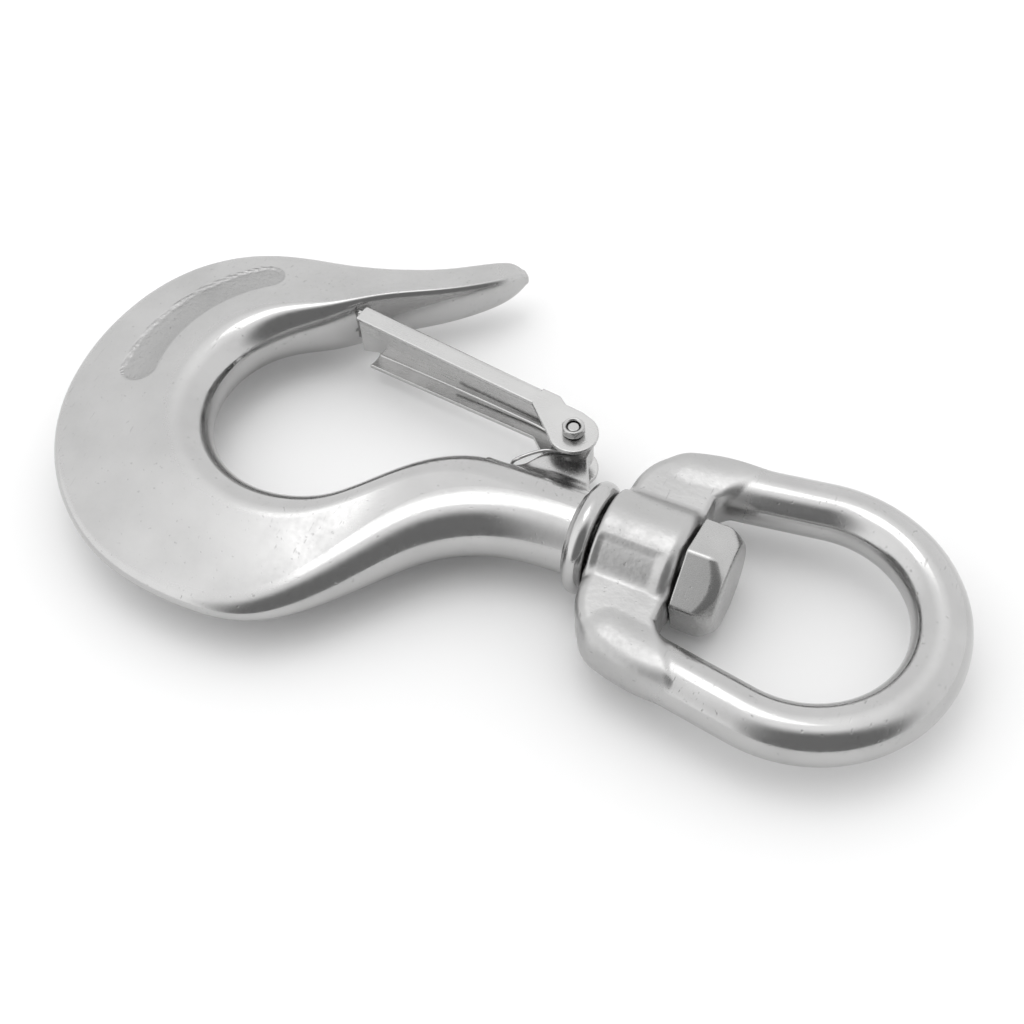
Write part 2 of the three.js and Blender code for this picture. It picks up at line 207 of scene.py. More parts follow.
def round_max(a, b, radius):
    """Intersection of two signed distances, with its edge rounded."""
    corner = np.hypot(np.maximum(a + radius, 0), np.maximum(b + radius, 0))
    return np.minimum(np.maximum(a, b), -radius) + corner


def round_min(a, b, radius):
    """Union of two signed distances, with a fillet."""
    return -round_max(-a, -b, radius)


def polygon_distance(points, x, y):
    """Signed distance to a closed outline, negative inside."""
    best = np.full(np.broadcast(x, y).shape, 1e9)
    inside = np.zeros(best.shape, bool)
    for (ax, ay), (bx, by) in zip(points, points[1:] + points[:1]):
        ex, ey = bx - ax, by - ay
        along = np.clip(((x - ax) * ex + (y - ay) * ey) / (ex * ex + ey * ey), 0, 1)
        best = np.minimum(best, (x - ax - along * ex) ** 2 + (y - ay - along * ey) ** 2)
        level = ((ay > y) != (by > y)) & (x < ax + (y - ay) * ex / (ey if ey else 1e-12))
        inside = inside ^ level
    return np.where(inside, -1, 1) * np.sqrt(best)


def arc_points(x, y, radius, start, end, count):
    angles = np.linspace(start, end, count)
    return [(x + radius * math.cos(one), y + radius * math.sin(one)) for one in angles]


def lathe(profile, segments=160):
    """(points, faces, normals) of a profile of (x, radius) turned about the swivel axis."""
    profile = np.array(profile)
    turns = np.linspace(0, 2 * math.pi, segments, endpoint=False)
    x = np.repeat(profile[:, 0], segments)
    radius = np.repeat(profile[:, 1], segments)
    turn = np.tile(turns, len(profile))
    points = np.stack([x, radius * np.cos(turn), radius * np.sin(turn)], 1)
    faces = []
    for ring in range(len(profile) - 1):
        for index in range(segments):
            near, far = ring * segments + index, ring * segments + (index + 1) % segments
            faces.append([near, near + segments, far + segments, far])
    return points, faces, vertex_normals(points, faces)


# ---- The hook -------------------------------------------------------------------------------------
# Each station is (inner point, outer point, half thickness and rounding at the inner edge, half
# thickness and rounding at the outer edge), from the collar round the bowl to the point.
def polar(degrees, radius):
    turn = math.radians(degrees)
    return BOWL[0] + radius * math.cos(turn), BOWL[1] + radius * math.sin(turn)


def bowl_station(degrees, outer_radius, inner_round=SADDLE_HALF, outer_half=2.8, outer_round=2.8):
    inner, outer = polar(degrees, BOWL_INNER), polar(degrees, outer_radius)
    return inner, outer, SADDLE_HALF, inner_round, outer_half, outer_round


STATIONS = [
    ((-3, 10.2), (-3, -10.4), 10.3, 10.3, 10.3, 10.3),
    ((-14, 10.4), (-13.8, -11), 10.3, 10.6, 10.3, 10.6),
    ((-25, 10.4), (-23.7, -12.8), 10.1, 11, 10.1, 11.2),
    ((-35.7, 9.9), (-32.5, -17.3), 9.9, 10.6, 9.9, 12.6),
    ((-45.2, 5.9), (-39.3, -23.3), 9.6, 10, 9.5, 13.4),
    ((-53.1, -1.3), (-45.8, -32.2), 9.3, 9.5, 8.8, 14),
    ((-59.4, -9.6), (-53, -42), 9.1, 9.1, 7.6, 14),
    ((-65.5, -16.4), (-61.3, -50.6), 9, 9, 6, 11),
    ((-74, -20.3), (-70.3, -55.6), 8.9, 8.9, 4.4, 7),
    bowl_station(-93, 63.2, outer_half=3.2, outer_round=3.6),
    bowl_station(-113, 66),
    bowl_station(-133, 67.4),
    bowl_station(-153, 68.6),
    bowl_station(-173, 68.4),
    bowl_station(-192, 68.0),
    bowl_station(-208, 66.8, 8.3),
    bowl_station(-223, 63, 6.8),
    bowl_station(-237, 57, 5, 3, 3),
    ((-92.3, 32.6), (-101.8, 55.6), 8.8, 3.9, 3.2, 3.2),
    ((-88, 37.2), (-94.8, 57.4), 8.5, 3, 3.4, 3.4),
    ((-82.3, 42.8), (-87.6, 59.6), 7.9, 2.5, 3.6, 3.4),
    ((-75.9, 47.6), (-80.9, 62.2), 7.2, 2.2, 3.7, 3.2),
    ((-69, 52.5), (-74.6, 65.3), 6.5, 2, 3.6, 3),
    ((-62.4, 58.3), (-68.9, 69.2), 5.6, 1.8, 3.4, 2.8),
    ((-57.4, 63.8), (-64.2, 72.4), 4.7, 1.7, 3.2, 2.6),
    ((-54.9, 68), (-60, 74.6), 3.6, 1.8, 2.8, 2.4),
    ((-53.8, 70.9), (-56.8, 73.8), 1.8, 1.2, 1.5, 1.2),
]
POCKET_STATIONS = (12, 19)  # the stretch that holds the sunk field and has denser rings
RINGS, POCKET_RINGS = 16, 40  # rings between two stations
SADDLE_STEPS, CHEEK_STEPS, EDGE_STEPS = 20, 56, 10
BOWL_STATIONS = (3.0, 8.0)  # where the round neck turns into the flat-cheeked bowl


def through(rows, places):
    """Centripetal Catmull-Rom values at fractional row numbers, as the CAD's curves have them."""
    rows = np.array(rows, float)
    rows = np.vstack([2 * rows[0] - rows[1], rows, 2 * rows[-1] - rows[-2]])
    found = []
    for place in places:
        index = min(int(place), len(rows) - 4)
        part = place - index
        a, b, c, d = rows[index:index + 4]
        gaps = [max(np.linalg.norm(q - p) ** 0.5, 1e-4) for p, q in ((a, b), (b, c), (c, d))]
        start = ((b - a) / gaps[0] - (c - a) / (gaps[0] + gaps[1]) + (c - b) / gaps[1]) * gaps[1]
        end = ((c - b) / gaps[1] - (d - b) / (gaps[1] + gaps[2]) + (d - c) / gaps[2]) * gaps[1]
        found.append(b + start * part + (3 * (c - b) - 2 * start - end) * part ** 2
                     + (2 * (b - c) + start + end) * part ** 3)
    return np.array(found)


def softened(rows, places, reach=0.42):
    """Rows averaged with their neighbours along the bar, with both ends kept in place."""
    wide = np.vstack([(2 * rows[0] - rows[::-1])[:-1], rows, (2 * rows[-1] - rows[::-1])[1:]])
    spots = np.concatenate([(2 * places[0] - places[::-1])[:-1], places, (2 * places[-1] - places[::-1])[1:]])
    weights = np.exp(-0.5 * ((places[:, None] - spots[None]) / reach) ** 2)
    weights *= np.gradient(spots)[None]
    return (weights / weights.sum(1, keepdims=True)) @ wide


def half_section(width, inner_half, inner_round, outer_half, outer_round):
    """Depths and heights from the saddle over one cheek to the outer edge.

    Each edge is half an ellipse, and the cheek is the straight line that touches both.
    """
    inner_round, outer_round = min(inner_round, width / 2), min(outer_round, width / 2)
    lean_in = lean_out = 0.0
    for _ in range(8):
        x0 = inner_round * (1 + math.sin(lean_in))
        y0 = inner_half * math.cos(lean_in)
        x1 = width - outer_round * (1 - math.sin(lean_out))
        y1 = outer_half * math.cos(lean_out)
        slope = (y0 - y1) / max(x1 - x0, 0.6)
        lean_in = math.atan(slope * inner_round / inner_half)
        lean_out = math.atan(slope * outer_round / outer_half)
    quarter = math.pi / 2
    saddle = np.linspace(0, quarter + lean_in, SADDLE_STEPS, endpoint=False)
    edge = np.linspace(lean_out, quarter, EDGE_STEPS + 1)[1:]
    cheek = np.linspace(0, 1, CHEEK_STEPS)
    depth = np.concatenate([inner_round * (1 - np.cos(saddle)), x0 + (x1 - x0) * cheek,
                            width - outer_round * (1 - np.sin(edge))])
    height = np.concatenate([inner_half * np.sin(saddle), y0 + (y1 - y0) * cheek,
                             outer_half * np.cos(edge)])
    return depth, height


def smooth_step(low, high, value):
    part = np.clip((value - low) / (high - low), 0, 1)
    return part * part * (3 - 2 * part)


def pocket_depth(x, y):
    """The shallow kidney-shaped field sunk into the cheek, sharp above and soft below."""
    middle, reach, radius, half, deepest, shallow = -197.3, 32.3, 49.6, 5.2, 0.7, 0.45
    out = np.hypot(x - BOWL[0], y - BOWL[1])
    turn = np.degrees(np.arctan2(y - BOWL[1], x - BOWL[0])) % 360 - 360
    along = np.radians(turn - middle) * radius
    across = out - radius + 1.6 * (along / 28.0) ** 2 - 0.3
    length = math.radians(reach) * radius
    rim = np.hypot(np.maximum(np.abs(along) - length + half, 0), across) - half
    wall = smooth_step(0.55, -0.85, rim)
    fade = smooth_step(-half - 1.0, half * 0.4, across)
    return deepest * wall * (shallow + (1 - shallow) * fade)


def hook_bar():
    places = []
    for index in range(len(STATIONS) - 1):
        dense = POCKET_STATIONS[0] <= index < POCKET_STATIONS[1]
        count = POCKET_RINGS if dense else RINGS
        places.extend(index + np.arange(count) / count)
    places = np.array(places + [len(STATIONS) - 1.0])
    inner = softened(through([one[0] for one in STATIONS], places), places)
    outer = softened(through([one[1] for one in STATIONS], places), places)
    sizes = softened(through([one[2:] for one in STATIONS], places), places)
    rings, satin = [], []
    flat_columns = np.zeros(SADDLE_STEPS + CHEEK_STEPS + EDGE_STEPS)
    flat_columns[SADDLE_STEPS:SADDLE_STEPS + CHEEK_STEPS] = 1
    flat_columns = np.convolve(np.pad(flat_columns, 2, mode="edge"), np.ones(5) / 5, "valid")
    for place, near, far, size in zip(places, inner, outer, sizes):
        width = float(np.linalg.norm(far - near))
        across = (far - near) / width
        depth, height = half_section(width, *size)
        x = near[0] + across[0] * depth
        y = near[1] + across[1] * depth
        is_bowl = smooth_step(*BOWL_STATIONS, place)
        sunk = is_bowl * pocket_depth(x, y) * (height > 0.5)
        upper = height - sunk
        ring = np.concatenate([
            np.stack([x, y, upper], 1), np.stack([x, y, -height], 1)[-2:0:-1]])
        rings.append(ring)
        flat = flat_columns * is_bowl * smooth_step(8, 14, width)
        # The sunk field's walls and floor get satin up to 2, which darkens their colour: painted shade of the
        # recess together with the cast skin's own tone.
        satin.append(np.concatenate([flat + smooth_step(0.05, 0.3, sunk), flat[-2:0:-1]]))
    # The point ends in a small dome.
    last, centre = rings[-1], rings[-1].mean(0)
    ahead = centre - rings[-4].mean(0)
    ahead /= np.linalg.norm(ahead)
    dome = 0.9
    for turn in np.linspace(0, math.pi / 2, 7)[1:]:
        ring = centre + (last - centre) * max(math.cos(turn), 0.02) + ahead * dome * math.sin(turn)
        rings.append(ring)
        satin.append(satin[-1])
    points, count = np.concatenate(rings), len(rings[0])
    faces = []
    for ring in range(len(rings) - 1):
        for index in range(count):
            near, far = ring * count + index, ring * count + (index + 1) % count
            faces.append([near, far, far + count, near + count])
    normals = vertex_normals(points, faces)
    faces.append(list(range(count))[::-1])
    faces.append([(len(rings) - 1) * count + index for index in range(count)])
    return points, faces, normals, np.concatenate(satin)


def waviness(points, size=0.02):
    """Slight unevenness of a hand-polished casting, as a height in millimetres."""
    x, y, z = points.T
    return size * (np.sin(x / 3.1 + 1.3 * np.sin(y / 4.7)) * np.cos(y / 3.9 + z / 5.3)
                   + np.sin(z / 2.7 + x / 7.1 + 0.8) * np.cos(y / 6.3 - x / 5.9))


def uneven(part):
    points, faces, normals, satin = part
    return points - normals * (np.abs(waviness(points)) + 0.005)[:, None], faces, normals, satin


def collar():
    """A ring of half-round section, with a small skirt on the neck and a flat face to the hub."""
    ring = [(COLLAR_MIDDLE - COLLAR_ROUND * math.cos(turn),
             COLLAR_RADIUS - COLLAR_ROUND + COLLAR_ROUND * math.sin(turn))
            for turn in np.linspace(-0.1, math.pi * 0.5 + 0.9, 22)]
    skirt = [(-7.4, 9.6), (-6.7, 10.4), (-6.1, 11.0)]
    face = [(-0.55, ring[-1][1] - 0.5), (-0.5, ring[-1][1] - 1.0), (-0.5, 6.4)]
    points, faces, normals = lathe(skirt + ring + face)
    return points, faces, normals, 0.0


def lug():
    """The plate that carries the latch, with the fillet that runs out over the neck."""
    px, py = PIVOT[0], PIVOT[1]
    outline = [(-6.5, 4), (-9.5, 13), (px + 5, py - 2.5)]
    outline += arc_points(px, py, LUG_RADIUS, -0.2, math.pi * 0.95, 20)
    outline += [(-23.2, 18), (-27.5, 10.5), (-31, 4)]

    def field(x, y, z):
        plate = round_max(polygon_distance(outline, x, y), np.abs(z) - LUG_HALF, 0.5)
        shift = np.clip((-3 - x) / 32, 0, 1)
        neck = np.hypot((y + 0.1 + 0.6 * shift) / (1 + 0.05 * shift), z) - 10.22 - 0.05 * shift
        solid = round_min(plate, neck, 3.2)
        solid = np.maximum(solid, np.abs(x + 18.5) - 15.5)
        solid = np.maximum(solid, 5.5 - y)
        return np.maximum(solid, PIN_BORE - np.hypot(x - px, y - py))

    return (*surface_of(field, (-35, 4.5, -10.6), (-2, 28.5, 10.6), 0.35), 0.3)


hook = joined("hook_casting", [uneven(hook_bar()), collar(), lug()])
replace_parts(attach(hook, "hook"), "hook_body")


# ---- The swivel eye -------------------------------------------------------------------------------
HUB_STEP = 0.55  # how much lower the hub is below its faint edge
SHOULDER_OUTLINE = [tuple(one) for one in through(
    [(0.6, 13), (1.1, 18.6), (3.5, 24.1), (8.3, 28.7), (14, 31.3), (22, 32.6), (30, 31.8)],
    np.linspace(0, 6, 37))] + [(30, -1), (0.6, -1)]


def eye_field(x, y, z):
    radius = np.hypot(y, z)
    turn = np.degrees(np.arctan2(z, y))
    # Below a faint edge the hub is a little lower, up to the rim beside the bolt's head.
    step = smooth_step(112, 121, turn) * smooth_step(0.5, 3, x) * smooth_step(18.2, 15.5, x)
    hub = round_max(radius - HUB_RADIUS + HUB_STEP * step, x - HUB_END, 2.8)
    hub = round_max(hub, HUB_START - x, 1.1)
    side = np.abs(y)
    shoulder = round_max(polygon_distance(SHOULDER_OUTLINE, x, side), np.abs(z) - SHOULDER_HALF, 3.0)
    inner = np.minimum(x - HUB_END, 0.82 * (x - HUB_END) - 0.57 * (side - SPOT_FACE))
    shoulder = round_max(shoulder, inner, 1.6)
    angle = np.arctan2(side, x - BOW_X)
    limit = math.pi / 2 + ARM_LEAN
    on_arc = np.abs(np.hypot(x - BOW_X, side) - BOW_RADIUS)
    end_x, end_y = BOW_X - BOW_RADIUS * math.sin(ARM_LEAN), BOW_RADIUS * math.cos(ARM_LEAN)
    back = (end_x - x) * math.cos(ARM_LEAN) + (end_y - side) * math.sin(ARM_LEAN)
    back = np.clip(back, 0, (end_x - ARM_START) / math.cos(ARM_LEAN))
    on_arm = np.hypot(x - end_x + back * math.cos(ARM_LEAN), side - end_y + back * math.sin(ARM_LEAN))
    line = np.where(angle <= limit, np.minimum(on_arc, on_arm), on_arm)
    bow = np.hypot(line, z) - BAR
    solid = round_min(round_min(shoulder, bow, 1.6), hub, 1.6)
    return np.maximum(solid, np.minimum(BORE - radius, HUB_END + 4 - x))


def eye_part():
    """The eye: polished along the bow, and left with a faint cast skin around the hub."""
    points, faces, normals = surface_of(eye_field, (-0.5, -39, -15), (89, 39, 15), 0.55)
    return points, faces, normals, 1.2 * smooth_step(34, 20, points[:, 0])


eye = joined("eye_casting", [uneven(eye_part())])
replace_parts(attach(eye, "eye"), "swivel_eye")


# ---- The swivel bolt ------------------------------------------------------------------------------
def hexagon_distance(u, v, flats, radius):
    """Signed distance to a regular hexagon with a corner on the first axis."""
    sides = []
    for turn in (30, 90, 150):
        angle = math.radians(turn)
        sides.append(np.abs(u * math.cos(angle) + v * math.sin(angle)) - flats / 2)
    return round_max(round_max(sides[0], sides[1], radius), sides[2], radius)


def bolt_field(x, y, z):
    radius = np.hypot(y, z)
    a = y * math.cos(HEAD_TURN) + z * math.sin(HEAD_TURN)
    b = -y * math.sin(HEAD_TURN) + z * math.cos(HEAD_TURN)
    prism = hexagon_distance(b, a, HEAD_FLATS, 0.7)
    crown = 0.62 * (x - HEAD_END) + 0.785 * (radius - HEAD_CROWN)
    head = round_max(round_max(prism, crown, 0.9), x - HEAD_END, 0.7)
    head = round_max(head, HEAD_START - x, 0.4)
    journal = np.maximum(radius - JOURNAL, np.abs(x - 12) - 11.7)
    return np.minimum(head, journal)


bolt = joined("bolt_head", [(*surface_of(bolt_field, (-0.5, -15, -15), (33, 15, 15), 0.36), 0.0)])
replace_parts(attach(bolt, "hook"), "swivel_bolt")


# ---- The latch ------------------------------------------------------------------------------------
# Latch shapes are in (distance towards the tip, height towards the throat's mouth, across).
def place_latch(part):
    """A part in the latch's own directions, widened towards the tip and put on the pivot."""
    points, faces, normals, satin = part
    along, up, across = points.T
    flare = np.maximum(0, (along - FLARE_START) / (LATCH_LENGTH - FLARE_START)) * (TIP_HALF - EAR_HALF)
    across = across + np.sign(across) * flare * np.clip((np.abs(across) - 2.0) / 3.4, 0, 1)
    c, s = math.cos(LATCH_TILT), math.sin(LATCH_TILT)
    turn = np.array([[c, s, 0], [s, -c, 0], [0, 0, -1]])
    moved = np.stack([along, up, across], 1) @ turn.T + PIVOT
    return moved, faces, normals @ turn.T, satin


def latch_field(u, n, w):
    """The folded sheet: a channel of web and flanges, two ears and the tongue."""
    side = np.abs(w)
    middle = EAR_HALF - SHEET / 2
    fold = round_max(side - middle, n - (WEB_TOP - SHEET / 2), 1.1)
    channel = round_max(np.abs(fold) - SHEET / 2, FREE_EDGE - n, 0.22)
    channel = round_max(channel, WEB_START - u, 0.25)
    # Flanges run on past the web; the lower one ends in a hollow.
    hollow = 6.6 - np.hypot(u - LATCH_LENGTH - 4.0, n - 5.4) - 20 * smooth_step(1, -1, w)
    channel = round_max(channel, u - LATCH_LENGTH, 0.35)
    channel = round_max(channel, 0.6 * (u - LATCH_LENGTH) + 0.8 * (FREE_EDGE - n) - 0.2, 0.3)
    channel = round_max(channel, hollow, 0.22)
    notch = np.maximum(WEB_END - u, side - (middle - SHEET * 0.3))
    channel = round_max(channel, -notch, 0.22)
    flange_start = np.minimum(FLARE_START - 0.9 - u, (WEB_TOP - SHEET - 0.1) - n)
    channel = np.maximum(channel, flange_start)
    outline = [(FLARE_START, FREE_EDGE)]
    outline += arc_points(0, 0, EAR_RADIUS, -0.22 * math.pi, -1.45 * math.pi, 44)
    outline += [(1.5, EAR_RADIUS + 0.5), (6.3, EAR_RADIUS + 0.6), (WEB_START, WEB_TOP - 0.25),
                (FLARE_START, WEB_TOP - 0.25)]
    ear = round_max(polygon_distance(outline, u, n), np.abs(side - middle) - SHEET / 2, 0.22)
    bend = [(WEB_END - 2.5, WEB_TOP - SHEET), (WEB_END - 0.9, WEB_TOP - SHEET - 0.03),
            (WEB_END + 0.1, WEB_TOP - SHEET - 0.22), (WEB_END + 3.8, WEB_TOP - SHEET - 1.5),
            (WEB_END + 4.2, WEB_TOP - 1.5), (WEB_END + 0.5, WEB_TOP - 0.25), (WEB_END - 0.6, WEB_TOP),
            (WEB_END - 2.5, WEB_TOP)]
    tongue = round_max(polygon_distance(bend, u, n), side - 5.6, 0.22)
    sheet = np.minimum(np.minimum(channel, ear), tongue)
    return round_max(sheet, PIN_BORE - np.hypot(u, n), 0.15)


latch = joined("latch_sheet", [place_latch((
    *surface_of(latch_field, (-7, -7, -8), (71.2, 9.4, 8), 0.3), 0.0))])
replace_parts(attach(latch, "latch"), "safety_latch")


def pin_part(field, low, high, step):
    points, faces, normals = surface_of(field, low, high, step)
    return points + PIVOT, faces, normals, 0.0


def small_bolt(x, y, z):
    radius = np.hypot(x, y)
    shank = round_max(round_max(radius - PIN, z - (EAR_HALF + 2.2), 0.35), -8.5 - z, 0.3)
    thick = np.abs(z + EAR_HALF + PIN_GAP + PIN_HEAD_HEIGHT / 2) - PIN_HEAD_HEIGHT / 2
    head = round_max(hexagon_distance(x, y, PIN_FLATS, 0.15), thick, 0.2)
    dome = 0.5 * (-z - EAR_HALF - PIN_GAP - PIN_HEAD_HEIGHT) + 0.866 * (radius - 2.7)
    return np.minimum(shank, round_max(head, dome, 0.15))


def small_nut(x, y, z):
    radius = np.hypot(x, y)
    low, half = EAR_HALF + PIN_GAP, PIN_NUT_HEIGHT / 2
    prism = round_max(hexagon_distance(x, y, PIN_FLATS, 0.2), np.abs(z - low - half) - half, 0.18)
    for sign in (1, -1):
        chamfer = 0.5 * (sign * (z - low - half) - half) + 0.866 * (radius - 2.55)
        prism = round_max(prism, chamfer, 0.15)
    rim = 0.7 * (PIN_BORE + 0.3 - radius) + 0.7 * (z - low - PIN_NUT_HEIGHT)
    return round_max(prism, np.maximum(PIN_BORE - radius, rim), 0.1)


pin = joined("latch_pin", [pin_part(small_bolt, (-3.5, -3.5, -10.4), (3.5, 3.5, 10), 0.16)])
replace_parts(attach(pin, "latch"), "latch_bolt")
nut = joined("latch_pin_nut", [pin_part(small_nut, (-3.5, -3.5, 7.5), (3.5, 3.5, 10.6), 0.13)])
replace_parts(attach(nut, "latch"), "latch_nut")


# ---- The spring -----------------------------------------------------------------------------------
def spring_path():
    """The upper half of the wire: its leg under the latch, the coil, and the bail to the middle."""
    along = np.array([math.cos(LATCH_TILT), math.sin(LATCH_TILT)])
    outward = np.array([math.sin(LATCH_TILT), -math.cos(LATCH_TILT)])
    top = COIL_Z + COIL_TURNS * COIL_PITCH
    path = []
    for distance, rise in ((40, 6.3), (25, 6.4), (12, 6.1), (5, 4.3)):
        path.append((*(PIVOT[:2] + along * distance + outward * rise), top))
    steps = 14
    for step in range(int(steps * COIL_TURNS) + 1):
        angle = LATCH_TILT - math.pi / 2 - step / steps * 2 * math.pi
        path.append((PIVOT[0] + COIL_RADIUS * math.cos(angle), PIVOT[1] + COIL_RADIUS * math.sin(angle),
                     COIL_Z + (COIL_TURNS - step / steps) * COIL_PITCH))
    path += [(-23.5, 17.2, COIL_Z + 0.1), (-28, 12.9, COIL_Z), (-29.8, 11.9, COIL_Z - 1.7)]
    return np.array(path)


def wire(path, radius, sides=14):
    """A round wire along a smooth path, with closed ends."""
    ahead = np.gradient(path, axis=0)
    ahead /= np.linalg.norm(ahead, axis=1, keepdims=True)
    up = np.array([0.0, 0.0, 1.0])
    rings, normals = [], []
    for point, direction in zip(path, ahead):
        across = np.cross(direction, up)
        if np.linalg.norm(across) > 0.2:
            up = np.cross(across, direction)
        across = np.cross(direction, up)
        across /= np.linalg.norm(across)
        up = np.cross(across, direction)
        for turn in np.linspace(0, 2 * math.pi, sides, endpoint=False):
            normal = across * math.cos(turn) + up * math.sin(turn)
            rings.append(point + normal * radius)
            normals.append(normal)
    faces = []
    for ring in range(len(path) - 1):
        for index in range(sides):
            near, far = ring * sides + index, ring * sides + (index + 1) % sides
            faces.append([near, far, far + sides, near + sides])
    faces.append(list(range(sides))[::-1])
    faces.append([(len(path) - 1) * sides + index for index in range(sides)])
    return np.array(rings), faces, np.array(normals), 0.0


def spring():
    """Two halves of one wire, each running from its leg under the latch through its coil to the bail's
    middle.
    """
    half = spring_path()
    whole = np.vstack([half, half[::-1] * (1, 1, -1)])
    places = np.linspace(0, len(whole) - 1, (len(whole) - 1) * 5 + 1)
    path = through(whole, places)
    middle = len(path) // 2
    for name, part, sign in (("spring_upper", path[:middle + 1], 1), ("spring_lower", path[middle:], -1)):
        made = joined(name, [wire(part, WIRE)])
        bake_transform(made)
        yield made


springs = list(spring())
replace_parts(springs[0], "latch_spring")


# ---- Materials ------------------------------------------------------------------------------------
def metal(name, colour, rough, rough_satin, grain, stretch=(1, 1, 1), fine=0.000012, pits=0.2, dark=0.9):
    """Stainless steel: base colour with faint clouds, roughness by finish, grain, pits and scratches.

    The satin attribute is 0 where the metal is polished, 1 where it is matt and 2 where it is as cast; above
    1 it also darkens the colour, which around the hub is the cast skin's own duller tone and in the sunk
    field is painted shade of the recess as well.
    fine is the grain's depth in metres and dark the brightness of the darkest clouds.
    """
    material = bpy.data.materials.new(name)
    material.use_nodes = True
    tree = material.node_tree
    shader = tree.nodes["Principled BSDF"]
    shader.inputs["Metallic"].default_value = 1.0

    def add(kind, values=(), **settings):
        made = tree.nodes.new(kind)
        for key, value in settings.items():
            setattr(made, key, value)
        for key, value in dict(values).items():
            if isinstance(value, bpy.types.NodeSocket):
                tree.links.new(value, made.inputs[key])
            else:
                made.inputs[key].default_value = value
        return made

    def ranged(value, low, high, first=0.0, last=1.0):
        return add("ShaderNodeMapRange", {"Value": value, "From Min": low, "From Max": high, "To Min": first,
                                          "To Max": last}).outputs["Result"]

    place = add("ShaderNodeTexCoord").outputs["Object"]
    satin = add("ShaderNodeAttribute", attribute_name="satin").outputs["Fac"]
    clouds = add("ShaderNodeTexNoise", {"Vector": place, "Scale": 70.0, "Detail": 5.0}).outputs["Fac"]
    streaked = add("ShaderNodeMapping", {"Vector": place, "Scale": stretch}).outputs["Vector"]
    fibres = add("ShaderNodeTexNoise", {"Vector": streaked, "Scale": grain, "Detail": 5.0,
                                        "Roughness": 0.6}).outputs["Fac"]

    def spots(vector, scale, low, high):
        noise = add("ShaderNodeTexNoise", {"Vector": vector, "Scale": scale, "Detail": 1.0}).outputs["Fac"]
        return ranged(noise, low, high)

    def combined(kind, one, other):
        return add("ShaderNodeMath", {0: one, 1: other}, operation=kind).outputs[0]

    specks = spots(place, 900.0, 0.7, 0.78)
    scored = add("ShaderNodeMapping", {"Vector": place, "Scale": (1.0, 0.12, 1.0),
                                       "Rotation": (0, 0, 0.5)}).outputs["Vector"]
    scratches = combined("MULTIPLY", spots(scored, 1400.0, 0.68, 0.76), spots(place, 45.0, 0.5, 0.62))
    blemishes = combined("MAXIMUM", specks, scratches)
    tint = ranged(clouds, 0.3, 0.7, dark, 1.0)
    tint = combined("SUBTRACT", tint, combined("MULTIPLY", blemishes, pits * 0.5))
    cast_skin_and_painted_shade = ranged(satin, 1.0, 2.0)
    # Above 1 the satin attribute darkens the colour: around the hub this is the cast skin's own duller tone,
    # and in the sunk field's walls and floor it is painted shade of the recess besides that tone.
    tint = combined("SUBTRACT", tint, combined("MULTIPLY", cast_skin_and_painted_shade, 0.2))
    tinted = add("ShaderNodeValToRGB", {"Fac": tint})
    tinted.color_ramp.elements[0].color = (0, 0, 0, 1)
    tinted.color_ramp.elements[1].color = (*colour, 1)
    tree.links.new(tinted.outputs["Color"], shader.inputs["Base Color"])
    finish = ranged(satin, 0.0, 1.0, rough, rough_satin)
    varied = ranged(fibres, 0.3, 0.7, -0.05, 0.06)
    patchy = ranged(clouds, 0.35, 0.65, 0.04, -0.03)
    tree.links.new(combined("ADD", combined("ADD", finish, varied), patchy), shader.inputs["Roughness"])
    grain_bump = add("ShaderNodeBump", {"Height": fibres, "Distance": fine, "Strength": 1.0})
    pit_bump = add("ShaderNodeBump", {"Height": blemishes, "Distance": pits * 0.00006, "Strength": 1.0,
                                      "Normal": grain_bump.outputs["Normal"]}, invert=True)
    # Where the casting is left as cast, in the sunk field and faintly around the hub, it is coarse.
    coarse = add("ShaderNodeTexNoise", {"Vector": place, "Scale": 650.0, "Detail": 4.0}).outputs["Fac"]
    cast_bump = add("ShaderNodeBump", {"Height": combined("MULTIPLY", coarse, cast_skin_and_painted_shade), "Distance": 0.0004,
                                       "Strength": 1.0, "Normal": pit_bump.outputs["Normal"]})
    tree.links.new(cast_bump.outputs["Normal"], shader.inputs["Normal"])
    return material


CAST = metal("cast_steel", (0.49, 0.488, 0.486), 0.15, 0.36, 700.0, fine=0.000008, pits=0.35)
MACHINED = metal("machined_steel", (0.48, 0.478, 0.475), 0.26, 0.36, 900.0, (1, 6, 6), pits=0.3, dark=0.84)
ROLLED = metal("rolled_sheet", (0.54, 0.538, 0.535), 0.24, 0.3, 500.0, (0.25, 4, 4), fine=0.000005)
DRAWN = metal("drawn_wire", (0.58, 0.577, 0.574), 0.15, 0.2, 800.0, (1, 1, 6), fine=0.000004)

for made, finish in ((hook, CAST), (eye, CAST), (bolt, MACHINED), (latch, ROLLED), (pin, MACHINED),
                     (nut, MACHINED), (springs[0], DRAWN), (springs[1], DRAWN)):
    made.data.materials.append(finish)

# ---- Camera, light and floor ----------------------------------------------------------------------
AZIMUTH, ELEVATION, ROLL = math.radians(28.86), math.radians(53.84), math.radians(-3.88)
SENSOR, LENS = 36.0, 52.734375
DISTANCE = 1500 / 4.2  # from the lens to the hook frame's origin, along the view
ASIDE, BELOW = 21.82619, 7.22381  # how far that origin lies to the right of the view's middle, and below it

